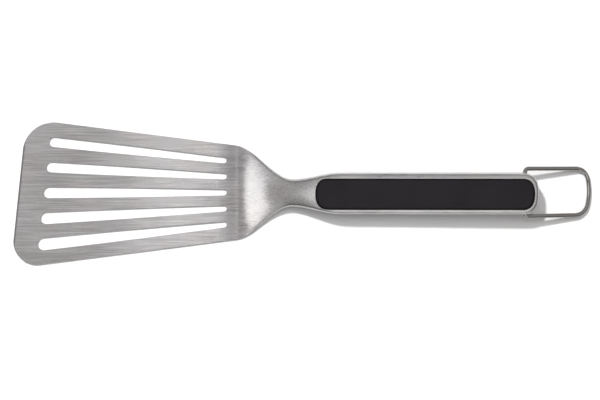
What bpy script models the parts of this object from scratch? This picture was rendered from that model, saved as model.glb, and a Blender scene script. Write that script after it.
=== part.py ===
"""Grill spatula: a slotted stainless blade whose neck runs into a two-shell steel handle with soft grip pads and a wire
hanging loop. +X runs from the blade's edge to the loop, +Z is up, and the blade lies flat on Z = 0."""

import math

import bmesh
import bpy
from mathutils import Vector

MM = 0.001

# Blade: a flat fan of sheet steel with a skewed leading edge and tapered slots
SHEET = 1.8 * MM
EDGE_X = -206.3 * MM  # the leading edge where it crosses the centre line
EDGE_SKEW = math.tan(math.radians(6.5))
EDGE_THICKNESS = 1.2 * MM
EDGE_BEVEL = 4.5 * MM
FAN_SLOPE = 0.128  # how fast each side edge closes in towards the handle
FAN_HALF_WIDTH = 34.3 * MM  # half the blade's width where the shoulder starts
SHARP_SIDE_RADIUS = 16.5 * MM
BROAD_SIDE_RADIUS = 23.0 * MM
OVERCUT = 0.03 * MM  # a corner's cutter starts and ends this far outside the edges it rounds
SLOT_COUNT = 5
SLOT_FAN_X = 161.0 * MM  # the slots' centre lines meet here
SLOT_FAN_STEP = 0.0538  # sideways step from one slot to the next, per metre from that point
SLOT_REAR_X = -54.8 * MM
SLOT_FRONT_LAND = 18.1 * MM  # steel between the leading edge and the slots
SLOT_FRONT_RADIUS = 4.1 * MM
SLOT_FRONT_STEP = 0.24 * MM  # each slot is this much rounder in front than the one above it
SLOT_REAR_RADIUS = 2.2 * MM

# Shoulder and neck: the sheet climbs in an S while its sides roll down into an inverted channel
SHOULDER_X = -49.0 * MM
CLIMB_X = -49.0 * MM
NECK_X = -7.0 * MM
NECK_END_X = 0.0
CLIMB_END_X = 24.0 * MM
CLIMB = 16.6 * MM
SHOULDER_POWER = 1.12
NECK_HALF_WIDTH = 9.75 * MM
ROLL_RADIUS = 2.6 * MM
FOLD_X = -48.0 * MM
FOLD_END_X = -20.0 * MM  # the sides are upright from here on
FLANGE = 7.0 * MM
FLANGE_START_X = -30.0 * MM
ACROSS = 24  # strips across the sheet

# Tang: a strip that leaves the neck inside the handle
TANG_HALF_WIDTH = 6.0 * MM
TANG_TOP = 12.2 * MM
TANG_END_X = 78.0 * MM
TANG_SUNK = 0.9 * MM  # how deep the tang's top face lies in the neck's sheet

# Handle shells
SHELL = 1.2 * MM
GAP = 0.3 * MM
HANDLE_FULL_X = 27.0 * MM
HANDLE_HALF_WIDTH = 14.7 * MM
HANDLE_END_X = 169.9 * MM
HANDLE_SWELL = 2.0 * MM  # extra height towards the rear
HANDLE_SWELL_START_X = 10.0 * MM
HANDLE_END_REACH = 12.4 * MM  # length of the rounded end in plan
END_POWER = 2.6
END_EDGE_RADIUS = 2.4 * MM
EDGE_RADIUS = 2.4 * MM
FRONT_UNDERSIDE = 3.6 * MM
MIDDLE_UNDERSIDE = 0.6 * MM
MIDDLE_X = 35.0 * MM
HEEL_X = 150.0 * MM
PARTING_Z = 8.0 * MM
PASSAGE_ROOF = 1.6 * MM  # steel left above the tang in the upper shell's front wall

# Grip pads and their carriers
PAD_START_X = 9.9 * MM
PAD_END_X = 166.6 * MM
PAD_HALF_WIDTH = 10.9 * MM
PAD_END_REACH = 8.2 * MM
PAD_POWER = 2.4
PAD_RECESS = 0.2 * MM
CARRIER_TOP = 2.0 * MM  # below the handle's outer face
CARRIER_THICKNESS = 2.0 * MM
CARRIER_LIP = 0.6 * MM
BOSS_RADIUS = 3.4 * MM

# Screws that draw the two carriers together
SCREW_X = {"front": 40.0 * MM, "middle": 64.0 * MM, "rear": 132.0 * MM}
SCREW_RADIUS = 1.45 * MM
SCREW_HEAD_RADIUS = 2.4 * MM
SCREW_HEAD = 1.3 * MM
SCREW_LENGTH = 12.5 * MM
SCREW_FIT = 0.35 * MM

# Hanging loop, drawn flat with its pivot on the Y axis, then lowered onto the table
WIRE_RADIUS = 1.6 * MM
LOOP_X = 160.6 * MM
LOOP_Z = 12.2 * MM
LOOP_HALF_WIDTH = 17.2 * MM
LOOP_FAR_HALF_WIDTH = 16.9 * MM
LOOP_SIDE_PLAY = 0.6 * MM  # the loop lies this far to one side in its holes
LOOP_LENGTH = 49.15 * MM
LOOP_PIN_END = 7.0 * MM
LOOP_BEND_RADIUS = 2.6 * MM
LOOP_CORNER_RADIUS = 9.5 * MM
LOOP_BOW_RADIUS = 42.0 * MM
PIVOT_HOLE_RADIUS = 2.05 * MM
BLOCK_LENGTH = 12.0 * MM
BLOCK_WIDTH = 23.4 * MM
BLOCK_CORNER = 4.0 * MM

MATERIALS = {
    "brushed_steel": ((0.56, 0.54, 0.53), 0.34, 1.0),
    "polished_steel": ((0.62, 0.60, 0.58), 0.16, 1.0),
    "soft_grip": ((0.018, 0.016, 0.018), 0.62, 0.0),
    "black_nylon": ((0.03, 0.03, 0.032), 0.5, 0.0),
    "white_nylon": ((0.72, 0.71, 0.68), 0.45, 0.0),
    "screw_steel": ((0.50, 0.50, 0.50), 0.30, 1.0),
}


# Helpers

def material(name):
    """A Principled material from the table above."""
    found = bpy.data.materials.get(name)
    if found:
        return found
    colour, roughness, metallic = MATERIALS[name]
    made = bpy.data.materials.new(name)
    made.use_nodes = True
    shader = made.node_tree.nodes["Principled BSDF"]
    shader.inputs["Base Color"].default_value = (*colour, 1.0)
    shader.inputs["Roughness"].default_value = roughness
    shader.inputs["Metallic"].default_value = metallic
    made.diffuse_color = (*colour, 1.0)
    return made


def object_from(bm, name, finish=None):
    """Turns a bmesh into an object; without a finish it is a guide that isn't part of the spatula."""
    bmesh.ops.recalc_face_normals(bm, faces=bm.faces[:])
    mesh = bpy.data.meshes.new(name)
    bm.to_mesh(mesh)
    bm.free()
    obj = bpy.data.objects.new(name, mesh)
    bpy.context.scene.collection.objects.link(obj)
    if finish:
        mesh.materials.append(material(finish))
        mesh.shade_smooth()
        mesh.set_sharp_from_angle(angle=math.radians(35))
    else:
        obj.hide_render = True
        obj.display_type = "WIRE"
    return obj


def boolean(obj, tool, operation="DIFFERENCE"):
    modifier = obj.modifiers.new(operation.title(), "BOOLEAN")
    modifier.object = tool
    modifier.operation = operation
    modifier.solver = "EXACT"


def loft(rings):
    """A closed solid through rings of equally many points: the first ring's face is extruded from each to the next."""
    bm = bmesh.new()
    face = bm.faces.new([bm.verts.new(point) for point in rings[0]])
    for ring in rings[1:]:
        made = bmesh.ops.extrude_face_region(bm, geom=[face, *face.edges])["geom"]
        face = next(item for item in made if isinstance(item, bmesh.types.BMFace))
        for vert, point in zip(face.verts, ring):
            vert.co = point
    return bm


def prism(outline, bottom, top):
    """A flat outline of (x, y) points raised from bottom to top."""
    return loft([[(x, y, z) for x, y in outline] for z in (bottom, top)])


def cylinder(start, end, radius, segments=20):
    """A round bar between two points."""
    axis = Vector(end) - Vector(start)
    bm = bmesh.new()
    bmesh.ops.create_cone(
        bm, cap_ends=True, segments=segments, radius1=radius, radius2=radius, depth=axis.length
    )
    bmesh.ops.transform(bm, matrix=axis.to_track_quat("Z", "Y").to_matrix().to_4x4(), verts=bm.verts)
    bmesh.ops.translate(bm, vec=(Vector(start) + Vector(end)) / 2, verts=bm.verts)
    return bm


def arc(centre, radius, start, end, steps):
    """Points on a circle from one angle to another, in radians."""
    angles = (start + (end - start) * i / steps for i in range(steps + 1))
    return [(centre[0] + radius * math.cos(a), centre[1] + radius * math.sin(a)) for a in angles]


def smooth(start, end, x, power=1.0):
    """0 before start, 1 after end and an S between them; a power over 1 makes it leave start later."""
    t = min(max((x - start) / (end - start), 0.0), 1.0) ** power
    return t * t * (3 - 2 * t)


def steps(start, end, count):
    return [start + (end - start) * i / count for i in range(count + 1)]


# The spatula's own lines, shared by the head and the handle

def fan_line(x):
    """Half the blade's width, if its side edges ran on straight."""
    return FAN_HALF_WIDTH + FAN_SLOPE * (SHOULDER_X - x)


def half_width(x):
    """Half the plan width of the blade, neck and handle at x."""
    shoulder = smooth(SHOULDER_X, NECK_X, x, SHOULDER_POWER)
    flare = smooth(NECK_X, HANDLE_FULL_X, x)
    return (
        NECK_HALF_WIDTH
        + (fan_line(x) - NECK_HALF_WIDTH) * (1 - shoulder)
        + (HANDLE_HALF_WIDTH - NECK_HALF_WIDTH) * flare
    )


def crown(x):
    """Height of the top face at x."""
    climb = CLIMB * smooth(CLIMB_X, CLIMB_END_X, x)
    return SHEET + climb + HANDLE_SWELL * smooth(HANDLE_SWELL_START_X, HANDLE_END_X, x)


def underside(x):
    """Height of the handle's bottom face at x. Its heel, at the rear, stands on the table."""
    lift = (FRONT_UNDERSIDE - MIDDLE_UNDERSIDE) * (1 - smooth(NECK_END_X, MIDDLE_X, x))
    return lift + MIDDLE_UNDERSIDE * (1 - smooth(MIDDLE_X, HEEL_X, x))


# Head: blade, shoulder, neck and tang, one stamping

def sheet_point(x, v, depth):
    """(y, z) on the formed sheet at x: v runs from -1 to 1 across it, and depth from its top face."""
    fold = math.pi / 2 * smooth(FOLD_X, FOLD_END_X, x)
    flange = FLANGE * smooth(FLANGE_START_X, NECK_END_X, x)
    flat = half_width(x) - ROLL_RADIUS * math.sin(fold) - flange * math.cos(fold)
    along = abs(v) * (flat + ROLL_RADIUS * fold + flange)
    turned = min(max((along - flat) / ROLL_RADIUS, 0.0), fold)
    straight = max(along - flat - ROLL_RADIUS * fold, 0.0)
    y = min(along, flat) + ROLL_RADIUS * math.sin(turned) + straight * math.cos(fold)
    z = crown(x) - ROLL_RADIUS * (1 - math.cos(turned)) - straight * math.sin(fold)
    y -= depth * math.sin(turned)
    z -= depth * math.cos(turned)
    return math.copysign(y, v), z


def sheet_ring(x, depth=SHEET, top=None, skewed=False):
    """One cross-section of the sheet, round its top and bottom faces. A skewed one follows the leading edge."""
    across = steps(-1.0, 1.0, ACROSS)
    ring = []
    for v, layer in [(v, 0.0) for v in across] + [(v, depth) for v in reversed(across)]:
        y, z = sheet_point(x, v, layer)
        station = x
        if skewed:
            y = v * fan_line(x) / (1 + v * FAN_SLOPE * EDGE_SKEW)
            station = x + y * EDGE_SKEW
        if top is not None and layer == 0.0:
            z = top
        ring.append((station, y, z))
    return ring


def slot_cutter(index):
    """A slot that tapers from its round front end, near the leading edge, to its round rear end."""
    side = index - (SLOT_COUNT - 1) / 2
    radius = SLOT_FRONT_RADIUS - SLOT_FRONT_STEP * side
    slope = -SLOT_FAN_STEP * side
    rear_x = SLOT_REAR_X - SLOT_REAR_RADIUS
    front_y = -slope * (SLOT_FAN_X - EDGE_X)
    front_x = EDGE_X + SLOT_FRONT_LAND + EDGE_SKEW * front_y + radius
    front = (front_x, -slope * (SLOT_FAN_X - front_x))
    rear = (rear_x, -slope * (SLOT_FAN_X - rear_x))
    turn = math.atan(slope)
    outline = arc(front, radius, turn + math.pi / 2, turn + 3 * math.pi / 2, 15)
    outline += arc(rear, SLOT_REAR_RADIUS, turn - math.pi / 2, turn + math.pi / 2, 7)
    return object_from(prism(outline, -2 * MM, 4 * MM), f"slot_cutter_{index + 1}")


def corner_cutter(side, radius):
    """What lies outside the round corner between the leading edge and one side edge."""
    corner_y = side * fan_line(EDGE_X) / (1 + side * FAN_SLOPE * EDGE_SKEW)
    corner = Vector((EDGE_X + corner_y * EDGE_SKEW, corner_y))
    inward = Vector((-side * EDGE_SKEW, -side)).normalized()
    rearward = Vector((1.0, -side * FAN_SLOPE)).normalized()
    half_angle = inward.angle(rearward) / 2
    reach = radius / math.tan(half_angle)
    centre = corner + (inward + rearward).normalized() * radius / math.sin(half_angle)
    first, last = corner + inward * reach, corner + rearward * reach
    start = math.atan2(*reversed(first - centre))
    sweep = (first - centre).angle_signed(last - centre)
    outline = arc(centre, radius + OVERCUT, start, start - sweep, 15)
    beyond = 12 * MM
    outline += [last - inward * beyond, corner - (inward + rearward) * 1.5 * beyond, first - rearward * beyond]
    name = "sharp_corner_cutter" if side < 0 else "broad_corner_cutter"
    return object_from(prism(outline, -2 * MM, 4 * MM), name)


def tang():
    """The strip that runs from inside the neck's sheet down to the middle of the handle."""
    top = [(x, crown(x) - TANG_SUNK) for x in steps(-10 * MM, -1.5 * MM, 4)]
    top += [(0.8 * MM, crown(0.8 * MM) - 2.2 * MM), (4 * MM, TANG_TOP + 0.3 * MM), (7 * MM, TANG_TOP)]
    top.append((TANG_END_X, TANG_TOP))
    profile = top + [(x, z - SHEET) for x, z in reversed(top)]
    return loft([[(x, y, z) for x, z in profile] for y in (-TANG_HALF_WIDTH, TANG_HALF_WIDTH)])


def make_head():
    rings = [
        sheet_ring(EDGE_X, depth=SHEET, top=EDGE_THICKNESS, skewed=True),
        sheet_ring(EDGE_X + EDGE_BEVEL, skewed=True),
    ]
    rings += [sheet_ring(x) for x in steps(-150 * MM, SHOULDER_X, 2)]
    rings += [sheet_ring(x) for x in steps(SHOULDER_X, NECK_END_X, 28)[1:]]
    head = object_from(loft(rings), "turner_head", "brushed_steel")
    for index in range(SLOT_COUNT):
        boolean(head, slot_cutter(index))
    boolean(head, corner_cutter(-1, SHARP_SIDE_RADIUS))
    boolean(head, corner_cutter(1, BROAD_SIDE_RADIUS))
    boolean(head, object_from(tang(), "tang_guide"), "UNION")
    for place in ("front", "middle"):
        x = SCREW_X[place]
        hole = cylinder((x, 0, TANG_TOP - 4 * MM), (x, 0, TANG_TOP + 2 * MM), SCREW_RADIUS + SCREW_FIT)
        boolean(head, object_from(hole, f"tang_hole_cutter_{place}"))


# Handle: two steel shells that meet on a level parting line

def rounded_end(x, end, reach, power):
    """1 along the handle, falling to 0 at a rounded end."""
    t = max((x - (end - reach)) / reach, 0.0)
    return max(1 - t**power, 0.0) ** (1 / power)


def handle_ring(x, inset):
    """The handle's cross-section, drawn in by inset on every side."""
    end = HANDLE_END_X - inset
    width = (half_width(x) - inset) * rounded_end(x, end, HANDLE_END_REACH - inset, END_POWER)
    end_radius = END_EDGE_RADIUS - inset
    past = min(max(x - (end - end_radius), 0.0), end_radius)
    drop = end_radius - math.sqrt(end_radius**2 - past**2)
    top = crown(x) - inset - drop
    bottom = underside(x) + inset + drop
    flare = smooth(NECK_END_X, HANDLE_FULL_X, x)
    top_radius = ROLL_RADIUS + (EDGE_RADIUS - ROLL_RADIUS) * flare - inset
    bottom_radius = EDGE_RADIUS - inset
    top_radius, bottom_radius = (min(r, 0.95 * width) for r in (top_radius, bottom_radius))
    quarter = math.pi / 2
    corners = [
        (1, top, top_radius, 0),
        (-1, top, top_radius, 1),
        (-1, bottom, bottom_radius, 2),
        (1, bottom, bottom_radius, 3),
    ]
    ring = []
    for side, z, radius, turn in corners:
        level = z - radius if z == top else z + radius
        centre = (side * (width - radius), level)
        ring += arc(centre, radius, turn * quarter, (turn + 1) * quarter, 5)
    return [(x, y, z) for y, z in ring]


def handle_body(inset, front):
    """The handle as a solid bar from front to its rounded end, drawn in by inset."""
    end = HANDLE_END_X - inset
    reach = HANDLE_END_REACH - inset
    stations = steps(front, 30 * MM, 13) + steps(30 * MM, end - reach, 5)[1:]
    stations += [end - reach + reach * math.sin(i * math.pi / 18) for i in range(1, 9)]
    stations.append(end - 0.1 * MM)
    return loft([handle_ring(x, inset) for x in stations])


def pad_outline(x, clearance=0.0):
    """Half the pad's width at x, let out by clearance."""
    reach = PAD_END_REACH + clearance
    start, end = PAD_START_X - clearance, PAD_END_X + clearance
    front = rounded_end(start + end - x, end, reach, PAD_POWER)
    rear = rounded_end(x, end, reach, PAD_POWER)
    return (PAD_HALF_WIDTH + clearance) * min(front, rear)


def pad_stations(clearance=0.0):
    """Where the pad's outline is sampled: closely at its round ends and along the neck's climb."""
    reach = PAD_END_REACH + clearance
    start, end = PAD_START_X - clearance, PAD_END_X + clearance
    turn = [reach * (1 - math.cos(i * math.pi / 16)) for i in range(1, 9)]
    front = [start + 0.05 * MM] + [start + t for t in turn]
    rear = [end - t for t in reversed(turn)] + [end - 0.05 * MM]
    return front + [24 * MM, 32 * MM] + steps(60 * MM, 140 * MM, 3) + rear


def window_cutter(face):
    """The opening in a shell that a grip pad fills."""
    near = [(x, pad_outline(x, GAP)) for x in pad_stations(GAP)]
    outline = near + [(x, -y) for x, y in reversed(near)]
    low, high = (PARTING_Z + 2 * MM, 40 * MM) if face > 0 else (-10 * MM, PARTING_Z - 3 * MM)
    return object_from(prism(outline, low, high), "upper_window_cutter" if face > 0 else "lower_window_cutter")


def make_shell(face):
    """The upper shell for face 1, the lower one for -1."""
    name = "handle_upper_shell" if face > 0 else "handle_lower_shell"
    front = NECK_END_X + GAP
    shell = object_from(handle_body(0.0, front), name, "brushed_steel")
    boolean(shell, object_from(handle_body(SHELL, front + SHELL), name + "_hollow_cutter"))
    far = 40 * MM
    low, high = (-far, PARTING_Z + GAP / 2) if face > 0 else (PARTING_Z - GAP / 2, far)
    outline = [(-20 * MM, -far), (200 * MM, -far), (200 * MM, far), (-20 * MM, far)]
    boolean(shell, object_from(prism(outline, low, high), name + "_half_cutter"))
    boolean(shell, window_cutter(face))
    if face > 0:
        hole = cylinder((LOOP_X, -30 * MM, LOOP_Z), (LOOP_X, 30 * MM, LOOP_Z), PIVOT_HOLE_RADIUS)
        boolean(shell, object_from(hole, "loop_hole_cutter"))
        reach = TANG_HALF_WIDTH + GAP
        passage = [(-2 * MM, -reach), (4 * MM, -reach), (4 * MM, reach), (-2 * MM, reach)]
        low, high = TANG_TOP - SHEET - GAP, crown(front) - PASSAGE_ROOF
        boolean(shell, object_from(prism(passage, low, high), "tang_passage_cutter"))


# Grip pads and carriers

def layer_ring(x, half, face, outer, inner):
    """A slab's cross-section between two depths below the handle's top face, or above its bottom face."""
    datum = crown(x) if face > 0 else underside(x)
    return [(x, side * half, datum - face * depth) for side, depth in ((-1, outer), (1, outer), (1, inner), (-1, inner))]


def make_pad(face):
    name = "upper_grip_pad" if face > 0 else "lower_grip_pad"
    rings = [layer_ring(x, pad_outline(x), face, PAD_RECESS, CARRIER_TOP - GAP) for x in pad_stations()]
    object_from(loft(rings), name, "soft_grip")


def make_carrier(face):
    """A tray behind each pad, wider than its window, with a boss for each screw."""
    name = "upper_grip_carrier" if face > 0 else "lower_grip_carrier"
    depths = (CARRIER_TOP, CARRIER_TOP + CARRIER_THICKNESS)
    rings = [
        layer_ring(x, pad_outline(x, CARRIER_LIP), face, *depths) for x in pad_stations(CARRIER_LIP)
    ]
    carrier = object_from(loft(rings), name, "black_nylon")
    for place, x in SCREW_X.items():
        meets_tang = x < TANG_END_X
        if face > 0:
            start = crown(x) - CARRIER_TOP - 0.5 * CARRIER_THICKNESS
            end = TANG_TOP + GAP if meets_tang else TANG_TOP - SHEET / 2 + GAP / 2
        else:
            start = underside(x) + CARRIER_TOP + 0.5 * CARRIER_THICKNESS
            end = TANG_TOP - SHEET - GAP if meets_tang else TANG_TOP - SHEET / 2 - GAP / 2
        boss = object_from(cylinder((x, 0, start), (x, 0, end), BOSS_RADIUS), f"{name}_boss_{place}")
        boolean(carrier, boss, "UNION")
    for place, x in SCREW_X.items():
        low = underside(x)
        ceiling = low + CARRIER_TOP + SCREW_LENGTH + 1 * MM
        hole = cylinder((x, 0, low), (x, 0, ceiling), SCREW_RADIUS + SCREW_FIT)
        boolean(carrier, object_from(hole, f"{name}_hole_{place}"))
        if face < 0:
            seat = low + CARRIER_TOP + SCREW_HEAD + GAP
            well = cylinder((x, 0, low), (x, 0, seat), SCREW_HEAD_RADIUS + SCREW_FIT)
            boolean(carrier, object_from(well, f"{name}_well_{place}"))


def make_screws():
    """One turned pan-head screw, driven up from below in three places."""
    profile = [
        (0.0, 0.6 * MM),
        (1.1 * MM, 0.0),
        (SCREW_HEAD_RADIUS * 0.8, 0.0),
        (SCREW_HEAD_RADIUS, 0.4 * MM),
        (SCREW_HEAD_RADIUS, SCREW_HEAD),
        (SCREW_RADIUS, SCREW_HEAD),
        (SCREW_RADIUS, SCREW_LENGTH - 1.5 * MM),
        (0.0, SCREW_LENGTH),
    ]
    bm = bmesh.new()
    points = [bm.verts.new((radius, 0, z)) for radius, z in profile]
    edges = [bm.edges.new(pair) for pair in zip(points, points[1:])]
    bmesh.ops.spin(
        bm, geom=points + edges, axis=(0, 0, 1), cent=(0, 0, 0), angle=2 * math.pi, steps=16, use_merge=True
    )
    bmesh.ops.remove_doubles(bm, verts=bm.verts, dist=0.00001)
    first = object_from(bm, "carrier_screw_front", "screw_steel")
    for place, x in SCREW_X.items():
        screw = first if place == "front" else bpy.data.objects.new(f"carrier_screw_{place}", first.data)
        if screw is not first:
            bpy.context.scene.collection.objects.link(screw)
        screw.location = (x, 0, underside(x) + CARRIER_TOP)


# Hanging loop and the block that its ends turn in

def loop_path():
    """The wire's centre line, flat, from one pin round the far end to the other pin."""
    bend = (LOOP_BEND_RADIUS, LOOP_HALF_WIDTH - LOOP_BEND_RADIUS)
    bow_centre = LOOP_LENGTH - LOOP_BOW_RADIUS
    inner = LOOP_BOW_RADIUS - LOOP_CORNER_RADIUS
    corner_y = LOOP_FAR_HALF_WIDTH - LOOP_CORNER_RADIUS
    corner_x = bow_centre + math.sqrt(inner**2 - corner_y**2)
    bow_turn = math.asin(corner_y / inner)
    half = [(0.0, LOOP_PIN_END)]
    half += arc(bend, LOOP_BEND_RADIUS, math.pi, math.pi / 2, 6)
    half += [(corner_x / 2, (LOOP_HALF_WIDTH + LOOP_FAR_HALF_WIDTH) / 2)]
    half += arc((corner_x, corner_y), LOOP_CORNER_RADIUS, math.pi / 2, bow_turn, 8)
    half += arc((bow_centre, 0.0), LOOP_BOW_RADIUS, bow_turn, 0.0, 4)[1:]
    return half + [(x, -y) for x, y in reversed(half[:-1])]


def make_loop():
    """A bent wire whose origin is on its pivot axis. It hangs down until its far end rests on the table."""
    curve = bpy.data.curves.new("hanging_loop", "CURVE")
    curve.dimensions = "3D"
    curve.bevel_depth = WIRE_RADIUS
    curve.bevel_resolution = 2
    curve.use_fill_caps = True
    curve.materials.append(material("polished_steel"))
    path = loop_path()
    spline = curve.splines.new("POLY")
    spline.points.add(len(path) - 1)
    for point, (x, y) in zip(spline.points, path):
        point.co = (x, y, 0.0, 1.0)
    spline.use_smooth = True
    loop = bpy.data.objects.new("hanging_loop", curve)
    bpy.context.scene.collection.objects.link(loop)
    loop.location = (LOOP_X, LOOP_SIDE_PLAY, LOOP_Z)
    loop.rotation_euler.y = math.asin((LOOP_Z - WIRE_RADIUS) / LOOP_LENGTH)


def make_pivot_block():
    """A nylon block between the carriers, bored across for the loop's two ends."""
    front = LOOP_X - BLOCK_LENGTH / 2
    low = underside(front) + CARRIER_TOP + CARRIER_THICKNESS + GAP
    high = crown(front) - CARRIER_TOP - CARRIER_THICKNESS - GAP
    bm = bmesh.new()
    bmesh.ops.create_cube(bm, size=1.0)
    bmesh.ops.scale(bm, vec=(BLOCK_LENGTH, BLOCK_WIDTH, high - low), verts=bm.verts)
    bmesh.ops.translate(bm, vec=(LOOP_X, 0, (low + high) / 2), verts=bm.verts)
    rear = [
        edge
        for edge in bm.edges
        if all(v.co.x > LOOP_X for v in edge.verts) and abs(edge.verts[0].co.z - edge.verts[1].co.z) > MM
    ]
    bmesh.ops.bevel(bm, geom=rear, offset=BLOCK_CORNER, segments=3, profile=0.5, affect="EDGES")
    block = object_from(bm, "loop_pivot_block", "white_nylon")
    reach = BLOCK_WIDTH
    bore = cylinder((LOOP_X, -reach, LOOP_Z), (LOOP_X, reach, LOOP_Z), PIVOT_HOLE_RADIUS)
    boolean(block, object_from(bore, "block_bore_cutter"))


def build():
    for obj in list(bpy.data.objects):
        bpy.data.objects.remove(obj)
    make_head()
    for face in (1, -1):
        make_shell(face)
        make_pad(face)
        make_carrier(face)
    make_screws()
    make_pivot_block()
    make_loop()


build()
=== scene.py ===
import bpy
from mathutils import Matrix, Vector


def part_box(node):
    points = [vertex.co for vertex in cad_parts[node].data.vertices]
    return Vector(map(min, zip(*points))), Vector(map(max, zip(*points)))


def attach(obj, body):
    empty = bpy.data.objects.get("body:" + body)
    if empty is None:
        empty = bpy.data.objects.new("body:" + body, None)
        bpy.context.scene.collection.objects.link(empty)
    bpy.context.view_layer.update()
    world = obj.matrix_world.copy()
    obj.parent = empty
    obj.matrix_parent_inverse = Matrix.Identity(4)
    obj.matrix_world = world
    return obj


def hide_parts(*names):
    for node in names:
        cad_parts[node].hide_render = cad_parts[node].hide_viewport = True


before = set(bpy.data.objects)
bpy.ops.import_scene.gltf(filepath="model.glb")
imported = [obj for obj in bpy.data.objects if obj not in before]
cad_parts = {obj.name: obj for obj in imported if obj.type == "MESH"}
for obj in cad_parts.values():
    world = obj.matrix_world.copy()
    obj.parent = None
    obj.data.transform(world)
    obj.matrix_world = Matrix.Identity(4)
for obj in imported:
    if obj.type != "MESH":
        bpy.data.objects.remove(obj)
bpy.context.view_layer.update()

import math

import bmesh
import bpy
from mathutils import Matrix, Vector

mm = 0.001
quarter = math.pi / 2
weldDistance = 0.004 * mm  # vertices closer than this are one


# curves that the pieces share

def ease(start, end, x, power=1.0):  # 0 before start, 1 after end, an S between them
    t = min(max((x - start) / (end - start), 0.0), 1.0) ** power
    return t * t * (3 - 2 * t)


def spaced(start, end, count):
    return [start + (end - start) * i / count for i in range(count + 1)]


def arcPoints(centre, radius, start, end, count):
    x, y = centre
    return [(x + radius * math.cos(a), y + radius * math.sin(a)) for a in spaced(start, end, count)]


bodyForm = {
    "sheet": 1.8 * mm,
    "shoulderX": -49.0 * mm,
    "neckX": -7.0 * mm,
    "fanHalf": 34.3 * mm,
    "fanSlope": 0.128,
    "shoulderPower": 1.12,
    "neckHalf": 9.75 * mm,
    "flareEndX": 27.0 * mm,
    "handleHalf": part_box("handle_upper_shell")[1].y,
    "climbX": -49.0 * mm,
    "climbEndX": 24.0 * mm,
    "climb": 16.6 * mm,
    "swellX": 10.0 * mm,
    "swell": 2.0 * mm,
    "endX": 169.9 * mm,
    "rollRadius": 2.6 * mm,
    "domeX": -46.0 * mm,
    "domeFullX": -20.0 * mm,
    "dome": 1.3 * mm,
    "domeFadeX": -5.0 * mm,
    "domeFadeEndX": 40.0 * mm,
    "domeFade": 0.65,
}


def fanLine(x):  # half the blade's width
    return bodyForm["fanHalf"] + bodyForm["fanSlope"] * (bodyForm["shoulderX"] - x)


def halfWidth(x):  # half the plan width of blade, neck and handle
    form = bodyForm
    shoulder = ease(form["shoulderX"], form["neckX"], x, form["shoulderPower"])
    flare = ease(form["neckX"], form["flareEndX"], x)
    neck, handle = form["neckHalf"], form["handleHalf"]
    return neck + (fanLine(x) - neck) * (1 - shoulder) + (handle - neck) * flare


def crown(x):  # height of the top face
    form = bodyForm
    climb = form["climb"] * ease(form["climbX"], form["climbEndX"], x)
    return form["sheet"] + climb + form["swell"] * ease(form["swellX"], form["endX"], x)


def domeDrop(x, y):  # the shoulder, neck and handle fall off slightly towards both sides
    form = bodyForm
    grown = ease(form["domeX"], form["domeFullX"], x)
    kept = 1 - form["domeFade"] * ease(form["domeFadeX"], form["domeFadeEndX"], x)
    return form["dome"] * grown * kept * min(abs(y) / halfWidth(x), 1.0) ** 2


# mesh helpers

def pieceFrom(bm, name):
    mesh = bpy.data.meshes.new(name)
    bm.to_mesh(mesh)
    bm.free()
    mesh.shade_smooth()
    piece = bpy.data.objects.new(name, mesh)
    bpy.context.scene.collection.objects.link(piece)
    return piece


def combine(piece, tool, operation="DIFFERENCE"):
    # one exact Boolean, kept in the mesh, after which the tool is removed
    modifier = piece.modifiers.new("cut", "BOOLEAN")
    modifier.object = tool
    modifier.operation = operation
    modifier.solver = "EXACT"
    evaluated = piece.evaluated_get(bpy.context.evaluated_depsgraph_get())
    mesh = bpy.data.meshes.new_from_object(evaluated)
    piece.modifiers.clear()
    piece.data = mesh
    bpy.data.objects.remove(tool)


def slab(outline, bottom, top):  # a flat outline raised into a solid
    bm = bmesh.new()
    face = bm.faces.new([bm.verts.new((x, y, bottom)) for x, y in outline])
    raised = bmesh.ops.extrude_face_region(bm, geom=[face])["geom"]
    lid = [item for item in raised if isinstance(item, bmesh.types.BMVert)]
    bmesh.ops.translate(bm, vec=(0, 0, top - bottom), verts=lid)
    bmesh.ops.recalc_face_normals(bm, faces=bm.faces)
    return pieceFrom(bm, "tool")


def rod(start, end, radius, segments=48):
    start, end = Vector(start), Vector(end)
    axis = end - start
    turn = axis.to_track_quat("Z", "Y").to_matrix().to_4x4()
    bm = bmesh.new()
    sizes = {"radius1": radius, "radius2": radius, "depth": axis.length}
    bmesh.ops.create_cone(bm, cap_ends=True, segments=segments, **sizes)
    bmesh.ops.transform(bm, matrix=turn, verts=bm.verts)
    bmesh.ops.translate(bm, vec=(start + end) / 2, verts=bm.verts)
    return pieceFrom(bm, "tool")


def easeRims(piece, chosen, width, segments=3, sharpest=0.6, flatFrom=2 * mm * mm):
    # rounds the rims that chosen() picks; each rounding's border is kept crisp, and large faces flat
    bm = bmesh.new()
    bm.from_mesh(piece.data)
    bmesh.ops.remove_doubles(bm, verts=bm.verts, dist=weldDistance / 2)
    rims = []
    for edge in bm.edges:
        middle = (edge.verts[0].co + edge.verts[1].co) / 2
        if len(edge.link_faces) == 2 and edge.calc_face_angle(0.0) > sharpest and chosen(middle):
            rims.append(edge)
    shape = {"segments": segments, "profile": 0.5, "affect": "EDGES", "material": -1}
    made = bmesh.ops.bevel(bm, geom=rims, offset=width, **shape)
    rounded = set(made["faces"])
    for face in bm.faces:
        if face not in rounded and face.calc_area() > flatFrom:
            face.smooth = False
    for edge in bm.edges:
        inside = [face in rounded for face in edge.link_faces]
        if any(inside) and not all(inside):
            edge.smooth = False
        elif edge.calc_face_angle(0.0) > sharpest:
            edge.smooth = False
    bm.to_mesh(piece.data)
    bm.free()
    piece.data.update()


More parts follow.
